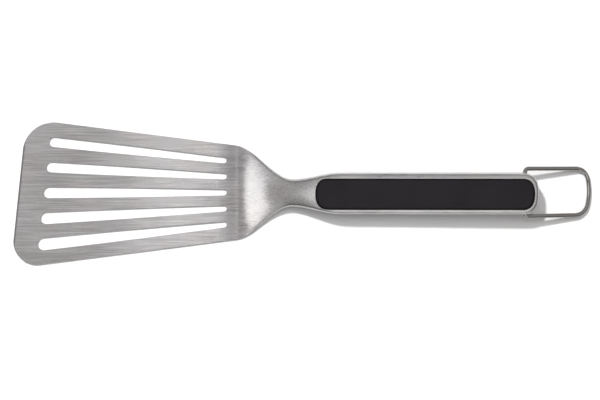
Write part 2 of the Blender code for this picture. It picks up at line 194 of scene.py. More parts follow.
def mapGrid(bm, rows, columns):
    # a flat grid whose vertices carry their row and column, ready to be moved by formula
    bmesh.ops.create_grid(bm, x_segments=rows, y_segments=columns, size=1.0)
    row = bm.verts.layers.int.new("row")
    column = bm.verts.layers.int.new("column")
    for vert in bm.verts:
        vert[row] = round((vert.co.x + 1) / 2 * rows)
        vert[column] = round((vert.co.y + 1) / 2 * columns)
    return row, column


# finishes: shared node groups first

def newGroup(name, inputs, outputs):
    group = bpy.data.node_groups.new(name, "ShaderNodeTree")
    for label, value in inputs.items():
        socket = group.interface.new_socket(label, in_out="INPUT", socket_type="NodeSocketFloat")
        socket.default_value = value
    for label in outputs:
        group.interface.new_socket(label, in_out="OUTPUT", socket_type="NodeSocketFloat")
    return group, group.nodes.new("NodeGroupInput"), group.nodes.new("NodeGroupOutput")


def math2(nodes, links, operation, a, b, clamp=False):
    node = nodes.new("ShaderNodeMath")
    node.operation = operation
    node.use_clamp = clamp
    for socket, value in zip(node.inputs, (a, b)):
        if isinstance(value, (int, float)):
            socket.default_value = value
        else:
            links.new(value, socket)
    return node.outputs[0]


def stretchedNoise(group, scales, detail, roughness):
    # noise whose grain runs along X: scales are cells per metre along and across it
    nodes, links = group.nodes, group.links
    coordinates = nodes.new("ShaderNodeTexCoord")
    mapping = nodes.new("ShaderNodeMapping")
    mapping.inputs["Scale"].default_value = scales
    noise = nodes.new("ShaderNodeTexNoise")
    noise.inputs["Scale"].default_value = 1.0
    noise.inputs["Detail"].default_value = detail
    noise.inputs["Roughness"].default_value = roughness
    links.new(coordinates.outputs["Object"], mapping.inputs["Vector"])
    links.new(mapping.outputs["Vector"], noise.inputs["Vector"])
    return noise.outputs["Fac"]


def brushedGrain():
    # scratches left by a belt that ran lengthwise: fine hairlines, broader strokes and slow patches
    weights = {"Hairlines": 1.0, "Strokes": 1.0, "Patches": 1.0}
    group, entry, result = newGroup("brushedGrain", weights, ["Height", "Shade"])
    nodes, links = group.nodes, group.links
    hair = stretchedNoise(group, (60, 5200, 5200), 3.0, 0.6)
    stroke = stretchedNoise(group, (34, 1500, 1500), 3.0, 0.6)
    patch = stretchedNoise(group, (22, 70, 70), 2.0, 0.5)
    centred = [math2(nodes, links, "SUBTRACT", value, 0.5) for value in (hair, stroke, patch)]
    weighed = [math2(nodes, links, "MULTIPLY", value, entry.outputs[i]) for i, value in enumerate(centred)]
    lines = math2(nodes, links, "ADD", weighed[0], weighed[1])
    links.new(lines, result.inputs["Height"])
    links.new(math2(nodes, links, "ADD", lines, weighed[2]), result.inputs["Shade"])
    return group


def surfaceMottle():
    # slow uneven patches from handling and polishing, about 0 on average
    group, entry, result = newGroup("surfaceMottle", {"Scale": 60.0, "Amount": 0.1}, ["Value"])
    nodes, links = group.nodes, group.links
    coordinates = nodes.new("ShaderNodeTexCoord")
    noise = nodes.new("ShaderNodeTexNoise")
    noise.inputs["Detail"].default_value = 4.0
    links.new(coordinates.outputs["Object"], noise.inputs["Vector"])
    links.new(entry.outputs["Scale"], noise.inputs["Scale"])
    centred = math2(nodes, links, "SUBTRACT", noise.outputs["Fac"], 0.5)
    links.new(math2(nodes, links, "MULTIPLY", centred, entry.outputs["Amount"]), result.inputs["Value"])
    return group


def raggedBand():
    # 1 between two places along X and 0 beyond them, with borders made ragged by the strokes; it marks
    # where painted shade goes, and on the neck more roughness too
    places = {"Start": -0.0275, "Blend": 0.006, "Ragged": 0.02, "End": 0.015, "Fade": 0.013}
    group, entry, result = newGroup("raggedBand", places, ["Mask"])
    nodes, links = group.nodes, group.links
    coordinates = nodes.new("ShaderNodeTexCoord")
    axes = nodes.new("ShaderNodeSeparateXYZ")
    links.new(coordinates.outputs["Object"], axes.inputs["Vector"])
    strokes = math2(nodes, links, "SUBTRACT", stretchedNoise(group, (35, 420, 420), 3.0, 0.6), 0.5)
    offset = math2(nodes, links, "MULTIPLY", strokes, entry.outputs["Ragged"])
    place = math2(nodes, links, "ADD", axes.outputs["X"], offset)
    past = math2(nodes, links, "SUBTRACT", place, entry.outputs["Start"])
    left = math2(nodes, links, "SUBTRACT", entry.outputs["End"], place)
    rise = math2(nodes, links, "DIVIDE", past, entry.outputs["Blend"], clamp=True)
    fall = math2(nodes, links, "DIVIDE", left, entry.outputs["Fade"], clamp=True)
    links.new(math2(nodes, links, "MULTIPLY", rise, fall), result.inputs["Mask"])
    return group


def edgeWear():
    # 0 on flats, up to 1 along outer edges that rub
    flatPointiness = 0.55
    group, entry, result = newGroup("edgeWear", {"Reach": 12.0}, ["Mask"])
    nodes, links = group.nodes, group.links
    geometry = nodes.new("ShaderNodeNewGeometry")
    centred = math2(nodes, links, "SUBTRACT", geometry.outputs["Pointiness"], flatPointiness)
    worn = math2(nodes, links, "MULTIPLY", centred, entry.outputs["Reach"], clamp=True)
    links.new(worn, result.inputs["Mask"])
    return group


grainGroup = brushedGrain()
mottleGroup = surfaceMottle()
wearGroup = edgeWear()
raggedBandGroup = raggedBand()


def newMaterial(name, colour, roughness, metallic):
    material = bpy.data.materials.new(name)
    material.use_nodes = True
    shader = material.node_tree.nodes["Principled BSDF"]
    shader.inputs["Base Color"].default_value = (*colour, 1.0)
    shader.inputs["Roughness"].default_value = roughness
    shader.inputs["Metallic"].default_value = metallic
    return material, material.node_tree.nodes, material.node_tree.links, shader


def placeGroup(nodes, group, **values):
    node = nodes.new("ShaderNodeGroup")
    node.node_tree = group
    for label, value in values.items():
        node.inputs[label].default_value = value
    return node


def blendColour(nodes, links, factor, first, second, blend="MIX"):
    mix = nodes.new("ShaderNodeMix")
    mix.data_type = "RGBA"
    mix.blend_type = blend
    colours = [socket for socket in mix.inputs if socket.type == "RGBA"]
    for socket, value in zip(colours, (first, second)):
        if isinstance(value, tuple):
            socket.default_value = (*value, 1.0)
        else:
            links.new(value, socket)
    links.new(factor, mix.inputs["Factor"])
    return next(socket for socket in mix.outputs if socket.type == "RGBA")


steelFinish = {
    "warm": (0.72, 0.69, 0.665),
    "cool": (0.655, 0.66, 0.685),
    "worn": (0.70, 0.69, 0.68),
    "scored": (0.38, 0.37, 0.37),
    # painted shade: the colour that the neck and the bend behind the slots are darkened towards
    "paintedShadeColour": (0.66, 0.65, 0.66),
    "neckPaintedShade": 0.2,
    "bendPaintedShade": 0.9,
    "roughness": 0.2,
    "roughnessSwing": 0.12,
    "shoulderRoughness": 0.10,
    "anisotropy": 0.6,
    "toneSwing": 1.2,
    "grainDepth": 0.014 * mm,
    "grainStrength": 0.6,
}

# painted shade: the darker band across the bend behind the slots, standing in for the dark reflection of
# the bend
bendShadePlaces = {"Start": -0.062, "Blend": 0.009, "Ragged": 0.003, "End": -0.038, "Fade": 0.008}


def brushedSteel(name, finish):
    material, nodes, links, shader = newMaterial(name, finish["warm"], finish["roughness"], 1.0)
    grain = placeGroup(nodes, grainGroup, Hairlines=0.8, Strokes=1.2, Patches=0.6)
    mottle = placeGroup(nodes, mottleGroup, Scale=34.0, Amount=1.6)
    wear = placeGroup(nodes, wearGroup, Reach=10.0)
    tone = math2(nodes, links, "ADD", mottle.outputs["Value"], 0.5, clamp=True)
    colour = blendColour(nodes, links, tone, finish["warm"], finish["cool"])
    strokes = math2(nodes, links, "MULTIPLY", grain.outputs["Shade"], finish["toneSwing"])
    strokes = math2(nodes, links, "ADD", strokes, 0.5, clamp=True)
    colour = blendColour(nodes, links, strokes, finish["scored"], colour)
    neckShadeAndRoughness, bend = placeGroup(nodes, raggedBandGroup), placeGroup(nodes, raggedBandGroup, **bendShadePlaces)
    # painted shade: the neck's colour is darkened, standing in for the dark reflection of its steep slope
    paintedShadeAmount = math2(nodes, links, "MULTIPLY", neckShadeAndRoughness.outputs["Mask"], finish["neckPaintedShade"])
    # painted shade across the bend behind the slots
    bendShadeAmount = math2(nodes, links, "MULTIPLY", bend.outputs["Mask"], finish["bendPaintedShade"])
    paintedShadeAmount = math2(nodes, links, "ADD", paintedShadeAmount, bendShadeAmount)
    bright = math2(nodes, links, "SUBTRACT", 1.0, neckShadeAndRoughness.outputs["Mask"])
    worn = math2(nodes, links, "MULTIPLY", wear.outputs["Mask"], bright)
    colour = blendColour(nodes, links, worn, colour, finish["worn"])
    colour = blendColour(nodes, links, paintedShadeAmount, colour, finish["paintedShadeColour"], "MULTIPLY")
    links.new(colour, shader.inputs["Base Color"])
    swing = math2(nodes, links, "MULTIPLY", grain.outputs["Shade"], finish["roughnessSwing"])
    rough = math2(nodes, links, "ADD", swing, finish["roughness"], clamp=True)
    softer = math2(nodes, links, "MULTIPLY", neckShadeAndRoughness.outputs["Mask"], finish["shoulderRoughness"])
    rough = math2(nodes, links, "ADD", rough, softer, clamp=True)
    links.new(rough, shader.inputs["Roughness"])
    bump = nodes.new("ShaderNodeBump")
    bump.inputs["Strength"].default_value = finish["grainStrength"]
    bump.inputs["Distance"].default_value = finish["grainDepth"]
    links.new(grain.outputs["Height"], bump.inputs["Height"])
    links.new(bump.outputs["Normal"], shader.inputs["Normal"])
    shader.inputs["Anisotropic"].default_value = finish["anisotropy"]
    geometry = nodes.new("ShaderNodeNewGeometry")
    across = nodes.new("ShaderNodeVectorMath")  # light spreads across the grain, at right angles to X
    across.operation = "CROSS_PRODUCT"
    across.inputs[1].default_value = (1.0, 0.0, 0.0)
    links.new(geometry.outputs["Normal"], across.inputs[0])
    links.new(across.outputs["Vector"], shader.inputs["Tangent"])
    return material


def noiseBump(nodes, links, shader, scale, detail, strength, depth):  # fine texture in the surface
    coordinates = nodes.new("ShaderNodeTexCoord")
    noise = nodes.new("ShaderNodeTexNoise")
    noise.inputs["Scale"].default_value = scale
    noise.inputs["Detail"].default_value = detail
    bump = nodes.new("ShaderNodeBump")
    bump.inputs["Strength"].default_value = strength
    bump.inputs["Distance"].default_value = depth
    links.new(coordinates.outputs["Object"], noise.inputs["Vector"])
    links.new(noise.outputs["Fac"], bump.inputs["Height"])
    links.new(bump.outputs["Normal"], shader.inputs["Normal"])


wireFinish = {
    "colour": (0.36, 0.347, 0.335),
    "roughness": 0.09,
    "marks": 900.0,
    "markDetail": 3.0,
    "markStrength": 0.25,
    "markDepth": 0.02 * mm,
}


def polishedWire(finish):
    base = finish["roughness"]
    material, nodes, links, shader = newMaterial("polishedWire", finish["colour"], base, 1.0)
    mottle = placeGroup(nodes, mottleGroup, Scale=260.0, Amount=0.16)
    rough = math2(nodes, links, "ADD", mottle.outputs["Value"], base, clamp=True)
    links.new(rough, shader.inputs["Roughness"])
    marks = (finish["marks"], finish["markDetail"], finish["markStrength"], finish["markDepth"])
    noiseBump(nodes, links, shader, *marks)
    return material


rubberFinish = {
    "colour": (0.0065, 0.0055, 0.007),
    "dusty": (0.011, 0.0095, 0.0115),
    "roughness": 0.5,
    "specular": 0.25,
    "pebble": 2600.0,
    "pebbleDetail": 2.0,
    "pebbleStrength": 0.5,
    "pebbleDepth": 0.03 * mm,
}


def softRubber(finish):
    base = finish["roughness"]
    material, nodes, links, shader = newMaterial("softRubber", finish["colour"], base, 0.0)
    shader.inputs["Specular IOR Level"].default_value = finish["specular"]
    mottle = placeGroup(nodes, mottleGroup, Scale=48.0, Amount=1.5)
    fine = placeGroup(nodes, mottleGroup, Scale=700.0, Amount=0.14)
    wear = placeGroup(nodes, wearGroup, Reach=6.0)
    tone = math2(nodes, links, "ADD", mottle.outputs["Value"], 0.35, clamp=True)
    tone = math2(nodes, links, "ADD", tone, wear.outputs["Mask"], clamp=True)
    colour = blendColour(nodes, links, tone, finish["colour"], finish["dusty"])
    links.new(colour, shader.inputs["Base Color"])
    rough = math2(nodes, links, "ADD", fine.outputs["Value"], base, clamp=True)
    links.new(rough, shader.inputs["Roughness"])
    pebble = (finish["pebble"], finish["pebbleDetail"], finish["pebbleStrength"], finish["pebbleDepth"])
    noiseBump(nodes, links, shader, *pebble)
    return material


def mouldedPlastic(name, colour, roughness):
    material, nodes, links, shader = newMaterial(name, colour, roughness, 0.0)
    mottle = placeGroup(nodes, mottleGroup, Scale=400.0, Amount=0.3)
    tone = math2(nodes, links, "ADD", mottle.outputs["Value"], 0.5, clamp=True)
    darker = tuple(c * 0.85 for c in colour)
    lighter = tuple(min(c * 1.15, 1.0) for c in colour)
    links.new(blendColour(nodes, links, tone, darker, lighter), shader.inputs["Base Color"])
    rough = math2(nodes, links, "ADD", mottle.outputs["Value"], roughness, clamp=True)
    links.new(rough, shader.inputs["Roughness"])
    return material


evenSteel = dict(steelFinish, bendPaintedShade=0.0, shoulderRoughness=0.0)
handleFinish = dict(evenSteel, roughness=0.3, grainStrength=0.4)
screwFinish = dict(evenSteel, neckPaintedShade=0.0, anisotropy=0.3, grainStrength=0.2)
plasticFinishes = {  # colour, roughness
    "carrierPlastic": ((0.03, 0.03, 0.032), 0.5),
    "pivotNylon": ((0.72, 0.71, 0.68), 0.45),
}

bladeSteel = brushedSteel("bladeSteel", steelFinish)
handleSteel = brushedSteel("handleSteel", handleFinish)
wireSteel = polishedWire(wireFinish)
gripRubber = softRubber(rubberFinish)
carrierPlastic, pivotNylon = (mouldedPlastic(name, *look) for name, look in plasticFinishes.items())
screwSteel = brushedSteel("screwSteel", screwFinish)
print("finishes made")


# the head: blade, shoulder, neck and tang

headForm = {
    "edgeX": -206.3 * mm,
    "edgeSkew": math.tan(math.radians(6.5)),
    "edgeThickness": 1.2 * mm,
    "edgeBevel": 1.4 * mm,
    "middleX": -150.0 * mm,
    "flange": 7.0 * mm,
    "flangeX": -30.0 * mm,
    "foldX": -48.0 * mm,
    "foldEndX": -20.0 * mm,
    "seamX": 0.14 * mm,
    "sharpSideRadius": 16.5 * mm,
    "broadSideRadius": 23.0 * mm,
    "slots": 5,
    "slotFanX": 161.0 * mm,
    "slotFanStep": 0.0538,
    "slotRearX": -54.8 * mm,
    "slotFrontLand": 18.1 * mm,
    "slotFrontRadius": 4.1 * mm,
    "slotFrontStep": 0.24 * mm,
    "slotRearRadius": 2.2 * mm,
    "slotSwell": 0.3 * mm,
    "rimRadius": 0.16 * mm,
    "cutReach": (-2.0 * mm, 4.0 * mm),
    "cutClearance": 0.03 * mm,
    "across": 64,
    "curvedRows": 84,
    "slotSteps": 12,
    "slotFrontSteps": 31,
    "slotRearSteps": 19,
    "cornerSteps": 41,
}


def sheetPoint(x, v, depth):  # v is -1 to 1 across the sheet, depth is measured from its top face
    form, radius = headForm, bodyForm["rollRadius"]
    fold = quarter * ease(form["foldX"], form["foldEndX"], x)
    flange = form["flange"] * ease(form["flangeX"], 0.0, x)
    flat = halfWidth(x) - radius * math.sin(fold) - flange * math.cos(fold)
    along = abs(v) * (flat + radius * fold + flange)
    turned = min(max((along - flat) / radius, 0.0), fold)
    straight = max(along - flat - radius * fold, 0.0)
    y = min(along, flat) + radius * math.sin(turned) + straight * math.cos(fold) - depth * math.sin(turned)
    z = crown(x) - radius * (1 - math.cos(turned)) - straight * math.sin(fold) - depth * math.cos(turned)
    return math.copysign(y, v), z - domeDrop(x, y)


def formSheet():
    form, sheet = headForm, bodyForm["sheet"]
    flatRows = [form["edgeX"], form["middleX"], bodyForm["shoulderX"]]
    stations = flatRows + spaced(bodyForm["shoulderX"], form["seamX"], form["curvedRows"])[1:]
    bm = bmesh.new()
    row, column = mapGrid(bm, len(stations) - 1, form["across"])

    def place(vert, depth):
        x, v = stations[vert[row]], vert[column] / form["across"] * 2 - 1
        y, z = sheetPoint(x, v, depth)
        if vert[row] == 0:  # the leading edge is skewed
            y = v * fanLine(x) / (1 + v * bodyForm["fanSlope"] * form["edgeSkew"])
            x += y * form["edgeSkew"]
        vert.co = (x, y, z)

    under = bmesh.ops.extrude_face_region(bm, geom=bm.faces[:] + bm.edges[:] + bm.verts[:])["geom"]
    under = {item for item in under if isinstance(item, bmesh.types.BMVert)}
    for vert in bm.verts:
        place(vert, sheet if vert in under else 0.0)
    bmesh.ops.recalc_face_normals(bm, faces=bm.faces)
    flat = [v for v in bm.verts if v[row] < len(flatRows)]
    inside = set(flat)
    edges = [e for e in bm.edges if all(v in inside for v in e.verts)]
    bmesh.ops.dissolve_limit(bm, angle_limit=0.002, verts=flat, edges=edges)
    return pieceFrom(bm, "turnerHead")


def slotTool(index):
    form = headForm
    side = index - (form["slots"] - 1) / 2
    radius, rear = form["slotFrontRadius"] - form["slotFrontStep"] * side, form["slotRearRadius"]
    slope = -form["slotFanStep"] * side
    skewed = form["edgeSkew"] * slope * (form["slotFanX"] - form["edgeX"])
    frontX = form["edgeX"] + form["slotFrontLand"] + radius - skewed
    rearX = form["slotRearX"] - rear
    front, back = ((x, -slope * (form["slotFanX"] - x)) for x in (frontX, rearX))
    turn = math.atan(slope)
    axis, aside = (Vector((math.cos(a), math.sin(a))) for a in (turn, turn + quarter))
    length = (Vector(back) - Vector(front)).length

    def edgePoints(hand, shares):  # one long edge, swelling a little at mid-length
        points = []
        for t in shares:
            half = radius + (rear - radius) * t + form["slotSwell"] * 4 * t * (1 - t)
            points.append(tuple(Vector(front) + axis * length * t + aside * hand * half))
        return points

    shares = spaced(0.0, 1.0, form["slotSteps"])[1:-1]
    outline = arcPoints(front, radius, turn + quarter, turn + 3 * quarter, form["slotFrontSteps"])
    outline += edgePoints(-1, shares)
    outline += arcPoints(back, rear, turn - quarter, turn + quarter, form["slotRearSteps"])
    outline += edgePoints(1, shares[::-1])
    return slab(outline, *form["cutReach"])


def cornerTool(side, radius):  # everything outside one rounded front corner
    form = headForm
    cornerY = side * fanLine(form["edgeX"]) / (1 + side * bodyForm["fanSlope"] * form["edgeSkew"])
    corner = Vector((form["edgeX"] + cornerY * form["edgeSkew"], cornerY))
    inward = Vector((-side * form["edgeSkew"], -side)).normalized()
    rearward = Vector((1.0, -side * bodyForm["fanSlope"])).normalized()
    half = inward.angle(rearward) / 2
    reach = radius / math.tan(half)
    centre = corner + (inward + rearward).normalized() * radius / math.sin(half)
    first, last = corner + inward * reach, corner + rearward * reach
    start = math.atan2(*reversed(first - centre))
    sweep = (first - centre).angle_signed(last - centre)
    outline = arcPoints(centre, radius + form["cutClearance"], start, start - sweep, form["cornerSteps"])
    beyond, farther = 12 * mm, 18 * mm
    far = corner - (inward + rearward) * farther
    outline += [last - inward * beyond, far, first - rearward * beyond]
    return slab(outline, *form["cutReach"])


def bevelTool():  # the wedge ground off above the leading edge
    form, sheet = headForm, bodyForm["sheet"]
    start, end, top, reach = -4 * mm, 7 * mm, 6 * mm, 80 * mm
    slope = (sheet - form["edgeThickness"]) / form["edgeBevel"]
    line = [(form["edgeX"] + x, form["edgeThickness"] + slope * x) for x in (start, end)]
    tool = slab([*line, (line[1][0], top), (line[0][0], top)], -reach, reach)
    tool.data.transform(Matrix.Rotation(quarter, 4, "X"))
    skew = Matrix.Identity(4)
    skew[0][1] = form["edgeSkew"]
    tool.data.transform(skew)
    tool.data.shade_flat()
    return tool


tangForm = {
    "half": 6.0 * mm,
    "rootX": (-10.0 * mm, -1.5 * mm),
    "rootSteps": 8,
    "sunk": 0.9 * mm,
    "stepX": 0.8 * mm,
    "stepSunk": 2.2 * mm,
    "levelX": 7.0 * mm,
    "nearlyLevelX": 4.0 * mm,
    "nearlyLevel": 0.3 * mm,
    "top": 12.2 * mm,
    "endX": 78.0 * mm,
}


def tangTool():  # runs on from the neck, steps down inside the handle and goes on level
    form, level = tangForm, tangForm["top"]
    top = [(x, crown(x) - form["sunk"]) for x in spaced(*form["rootX"], form["rootSteps"])]
    top.append((form["stepX"], crown(form["stepX"]) - form["stepSunk"]))
    top.append((form["nearlyLevelX"], level + form["nearlyLevel"]))
    top += [(form["levelX"], level), (form["endX"], level)]
    profile = top + [(x, z - bodyForm["sheet"]) for x, z in reversed(top)]
    tool = slab(profile, -form["half"], form["half"])
    tool.data.transform(Matrix.Rotation(quarter, 4, "X"))
    return tool


def makeHead():
    form = headForm
    head = formSheet()
    for index in range(form["slots"]):
        combine(head, slotTool(index))
    combine(head, cornerTool(-1, form["sharpSideRadius"]))
    combine(head, cornerTool(1, form["broadSideRadius"]))
    seamMargin = 0.1 * mm  # the edge at the handle stays sharp
    easeRims(head, lambda at: at.x < form["seamX"] - seamMargin, form["rimRadius"])
    combine(head, bevelTool())
    combine(head, tangTool(), "UNION")
    head.data.materials.clear()
    head.data.materials.append(bladeSteel)
    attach(head, "spatula")
    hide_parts("turner_head")


makeHead()
print("head made")


# the handle's two shells

shellForm = {
    "wall": 1.2 * mm,
    "frontX": 0.16 * mm,
    "endReach": 12.4 * mm,
    "endPower": 2.6,
    "edgeRadius": 2.4 * mm,
    "parting": 8.0 * mm,
    "partingGap": 0.12 * mm,
    "frontUnder": 3.6 * mm,
    "middleUnder": 0.6 * mm,
    "middleX": 35.0 * mm,
    "heelX": 150.0 * mm,
    "rimRadius": 0.4 * mm,
    "rimSegments": 4,
    "rimFromX": 5.0 * mm,
    "upperRimDepth": 0.6 * mm,
    "lowerRimDepth": 0.05 * mm,
    "loopAt": (160.6 * mm, 12.2 * mm),
    "loopHole": 2.05 * mm,
    "tangPassageX": (-2.0 * mm, 4.0 * mm),
    "tangPassageHalf": 6.3 * mm,
    "tangPassageFloor": 10.1 * mm,
    "tangPassageRoof": 1.6 * mm,
    "fineX": 30.0 * mm,
    "fineRows": 30,
    "plainRows": 12,
    "turnRows": 72,
}

padForm = {
    "startX": 9.9 * mm,
    "endX": 166.6 * mm,
    "half": 10.9 * mm,
    "shift": -0.35 * mm,
    "reach": 8.2 * mm,
    "power": 2.4,
    "recess": 0.25 * mm,
    "dome": 0.2 * mm,
    "depth": 1.7 * mm,
    "edge": 1.3 * mm,
    "gap": 0.22 * mm,
    "fineX": 24.0 * mm,
    "turnRows": 56,
    "plainRows": 10,
    "fineRows": 8,
}


def underside(x):
    form = shellForm
    lift = (form["frontUnder"] - form["middleUnder"]) * (1 - ease(0.0, form["middleX"], x))
    return lift + form["middleUnder"] * (1 - ease(form["middleX"], form["heelX"], x))


def superRound(angle, power):  # how far a superellipse stands out from its circle
    return (abs(math.cos(angle)) ** power + abs(math.sin(angle)) ** power) ** (-1 / power)


def profileSteps(**counts):  # a surface's profile from its wall over its rounded edge to its deck
    last = list(counts)[-1]
    steps = []
    for kind, count in counts.items():
        steps += [(kind, i / count) for i in range(count + (kind == last))]
    return steps


def closeSurface(bm):  # a folded grid becomes a clean solid
    bmesh.ops.remove_doubles(bm, verts=bm.verts, dist=weldDistance)
    bmesh.ops.dissolve_degenerate(bm, edges=bm.edges, dist=weldDistance / 2)


def shellSurface(face, inset, front, level):
    # one shell's outer or inner surface: a grid that runs up one side, round the rear end and back
    form = shellForm
    half, reach = bodyForm["handleHalf"] - inset, form["endReach"] - inset
    turnX = bodyForm["endX"] - form["endReach"]
    side = spaced(front, form["fineX"], form["fineRows"])
    side += spaced(form["fineX"], turnX, form["plainRows"])[1:]
    around = [(x, -1, 0.0) for x in side]
    around += [(turnX, 0, a) for a in spaced(-quarter, quarter, form["turnRows"])[1:-1]]
    around += [(x, 1, 0.0) for x in reversed(side)]
    steps = profileSteps(wall=2, round=10, deck=6)
    bm = bmesh.new()
    row, column = mapGrid(bm, len(around) - 1, len(steps) - 1)
    for vert in bm.verts:
        x, hand, angle = around[vert[row]]
        kind, t = steps[vert[column]]
        flare = ease(0.0, bodyForm["flareEndX"], x)
        radius = form["edgeRadius"] - inset
        if face > 0:
            radius += (bodyForm["rollRadius"] - form["edgeRadius"]) * (1 - flare)
        width = halfWidth(x) - inset
        drawn = {
            "wall": 0.0,
            "round": radius * (1 - math.cos(t * quarter)),
            "deck": radius + (width - radius) * t,
        }[kind]
        if hand:
            place = (x, hand * (width - drawn))
        else:
            out = superRound(angle, form["endPower"])
            across = half - drawn
            along = reach * max(across / half, 0.0) ** (half / reach)
            place = (turnX + along * math.cos(angle) * out, across * math.sin(angle) * out)
        sag = domeDrop(*place)
        top = crown(place[0]) - inset - sag if face > 0 else underside(place[0]) + inset
        spring = top - face * radius
        z = {
            "wall": level + (spring - level) * t,
            "round": spring + face * radius * math.sin(t * quarter),
            "deck": top,
        }[kind]
        vert.co = (*place, z)
    closeSurface(bm)
    frontEnd = [v for v in bm.verts if abs(v.co.x - front) < weldDistance / 4]
    bm.edges.new(sorted(frontEnd, key=lambda v: face * v.co.z)[:2])  # so the front end closes by itself
    bmesh.ops.holes_fill(bm, edges=bm.edges, sides=0)
    bmesh.ops.recalc_face_normals(bm, faces=bm.faces)
    return pieceFrom(bm, "shellSurface")


def padOutline(grow, count=40):
    # a long rounded form with superelliptic ends
    form = padForm
    reach, half = form["reach"] + grow, form["half"] + grow
    front, rear = form["startX"] + form["reach"], form["endX"] - form["reach"]
    points = []
    for centre, start in ((rear, -quarter), (front, quarter)):
        for angle in spaced(start, start + math.pi, count):
            out = superRound(angle, form["power"])
            x = centre + reach * math.cos(angle) * out
            points.append((x, form["shift"] + half * math.sin(angle) * out))
    return points


def makeShell(face):
    form, gap, wall = shellForm, shellForm["partingGap"] / 2, shellForm["wall"]
    beyond, outside = 2 * mm, 30 * mm  # how far the cutting tools stand past what they cut
    windowReach = (form["parting"] + beyond, 40 * mm) if face > 0 else (-10 * mm, form["parting"] - 3 * mm)
    shell = shellSurface(face, 0.0, form["frontX"], form["parting"] + face * gap)
    shell.name = "handleUpperShell" if face > 0 else "handleLowerShell"
    combine(shell, shellSurface(face, wall, form["frontX"] + wall, form["parting"] - face * beyond))
    combine(shell, slab(padOutline(padForm["gap"]), *windowReach))
    if face > 0:
        x, z = form["loopAt"]
        combine(shell, rod((x, -outside, z), (x, outside, z), form["loopHole"]))
        (start, end), half = form["tangPassageX"], form["tangPassageHalf"]
        passage = [(start, -half), (end, -half), (end, half), (start, half)]
        roof = crown(form["frontX"]) - form["tangPassageRoof"]
        combine(shell, slab(passage, form["tangPassageFloor"], roof))

    def isRim(at):
        if face > 0:
            outer = crown(at.x) - form["upperRimDepth"]
        else:
            outer = -underside(at.x) - form["lowerRimDepth"]
        return face * at.z > outer and at.x > form["rimFromX"]

    easeRims(shell, isRim, form["rimRadius"], segments=form["rimSegments"], flatFrom=math.inf)
    shell.data.materials.clear()
    shell.data.materials.append(handleSteel)
    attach(shell, "spatula")
    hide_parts("handle_upper_shell" if face > 0 else "handle_lower_shell")


for face in (1, -1):
    makeShell(face)
print("handle shells made")


# the soft grip pads

def makePad(face):
    form = padForm
    edge = form["edge"]
    front, rear = form["startX"] + form["reach"], form["endX"] - form["reach"]
    side = spaced(front, form["fineX"], form["fineRows"])[:-1]
    side += spaced(form["fineX"], rear, form["plainRows"])
    ring = [(rear, a) for a in spaced(-quarter, quarter, form["turnRows"])]
    ring += [(x, quarter) for x in reversed(side[:-1])]
    ring += [(front, a) for a in spaced(quarter, 3 * quarter, form["turnRows"])[1:]]
    ring += [(x, -quarter) for x in side[1:]]
    steps = profileSteps(wall=2, round=6, deck=14)
    bm = bmesh.new()
    row, column = mapGrid(bm, len(ring) - 1, len(steps) - 1)
    for vert in bm.verts:
        centre, angle = ring[vert[row]]
        kind, t = steps[vert[column]]
        drawn = {
            "wall": 0.0,
            "round": edge * (1 - math.cos(t * quarter)),
            "deck": edge + (form["half"] - edge) * t,
        }[kind]
        out = superRound(angle, form["power"])
        across = form["half"] - drawn
        along = form["reach"] * max(across / form["half"], 0.0) ** (form["half"] / form["reach"])
        x = centre + along * math.cos(angle) * out
        y = form["shift"] + across * math.sin(angle) * out
        datum = crown(x) - domeDrop(x, y) if face > 0 else -underside(x)
        dome = form["dome"] * (1 - (across / form["half"]) ** 2)
        low = datum - form["depth"]
        spring = datum - form["recess"] - edge
        z = {
            "wall": low + (spring - low) * t,
            "round": spring + edge * math.sin(t * quarter),
            "deck": datum - form["recess"] + dome,
        }[kind]
        vert.co = (x, y, face * z)
    closeSurface(bm)
    bmesh.ops.holes_fill(bm, edges=bm.edges, sides=0)
    bmesh.ops.recalc_face_normals(bm, faces=bm.faces)
    pad = pieceFrom(bm, "upperGripPad" if face > 0 else "lowerGripPad")
    pad.data.set_sharp_from_angle(angle=0.9)
    pad.data.materials.append(gripRubber)
    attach(pad, "spatula")
    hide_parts("upper_grip_pad" if face > 0 else "lower_grip_pad")


for face in (1, -1):
    makePad(face)
print("grip pads made")


# the hanging loop

loopForm = {
    "wire": 1.6 * mm,
    "half": 17.2 * mm,
    "farHalf": 16.9 * mm,
    "sidePlay": 0.6 * mm,
    "length": 49.15 * mm,
    "pinEnd": 7.0 * mm,
    "pinStep": 3.0 * mm,
    "bend": 2.6 * mm,
    "corner": 9.5 * mm,
    "bow": 42.0 * mm,
    "roundness": 6,
}


def loopPath():
    # centre line seen from above: pin, bend, side wire, corner and slightly bowed far end
    form = loopForm
    bend, near, far = form["bend"], form["half"], form["farHalf"]
    bowX = form["length"] - form["bow"]
    inner, cornerY = form["bow"] - form["corner"], far - form["corner"]
    cornerX = bowX + math.sqrt(inner**2 - cornerY**2)
    turn = math.asin(cornerY / inner)
    half = [(0.0, form["pinEnd"]), (0.0, form["pinEnd"] + form["pinStep"])]
    half += arcPoints((bend, near - bend), bend, math.pi, quarter, 14)
    half += [(bend + (cornerX - bend) * t, near + (far - near) * t) for t in (0.25, 0.5, 0.75)]
    half += arcPoints((cornerX, cornerY), form["corner"], quarter, turn, 20)
    half += arcPoints((bowX, 0.0), form["bow"], turn, 0.0, 10)[1:]
    return half + [(x, -y) for x, y in reversed(half[:-1])]


